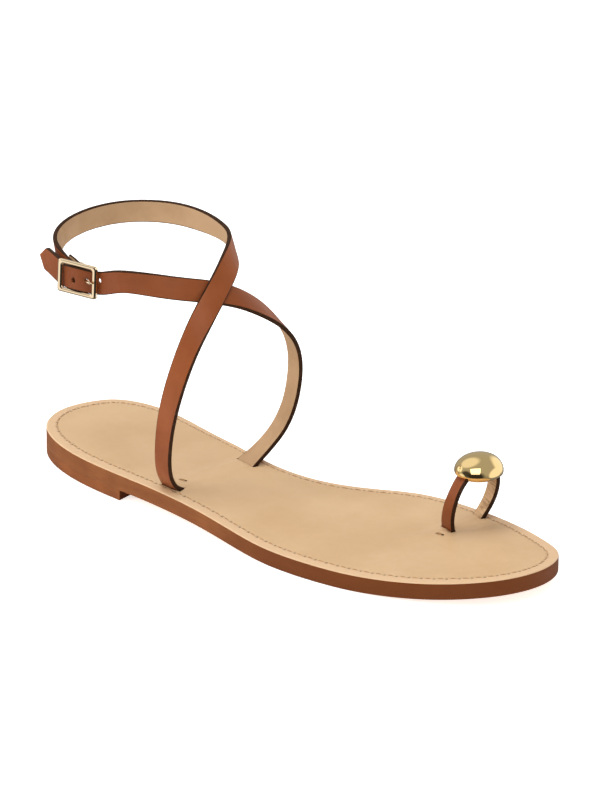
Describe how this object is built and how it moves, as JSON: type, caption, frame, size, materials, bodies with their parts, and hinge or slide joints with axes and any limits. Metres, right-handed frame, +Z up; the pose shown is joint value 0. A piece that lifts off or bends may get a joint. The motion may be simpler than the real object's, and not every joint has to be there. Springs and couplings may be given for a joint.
{
  "type": "leather sandal",
  "caption": "Flat leather sandal for a right foot: crossed ankle straps with a side buckle, a toe loop with a polished gold bead, a pale stitched insole and a low stacked heel.",
  "frame": {"origin": "middle of the shoe's box, on the floor", "axes": "+X from heel to toe, +Y from the outer to the inner side of the foot, +Z up"},
  "size_m": [0.25, 0.0843, 0.1115],
  "materials": {
    "sole_leather": "burnished brown edge",
    "insole_leather": "smooth natural leather, satin",
    "strap_leather": "smooth cognac, semi-gloss, dark painted edges",
    "gold_metal": "polished gold plating"
  },
  "bodies": {
    "root": {"outsole": "sole_leather", "heel_lift": "sole_leather", "insole": "insole_leather", "upper": "strap_leather", "toe_loop": "strap_leather", "toe_bead": "gold_metal", "buckle_frame": "gold_metal", "buckle_prong": "gold_metal"}
  },
  "joints": []
}
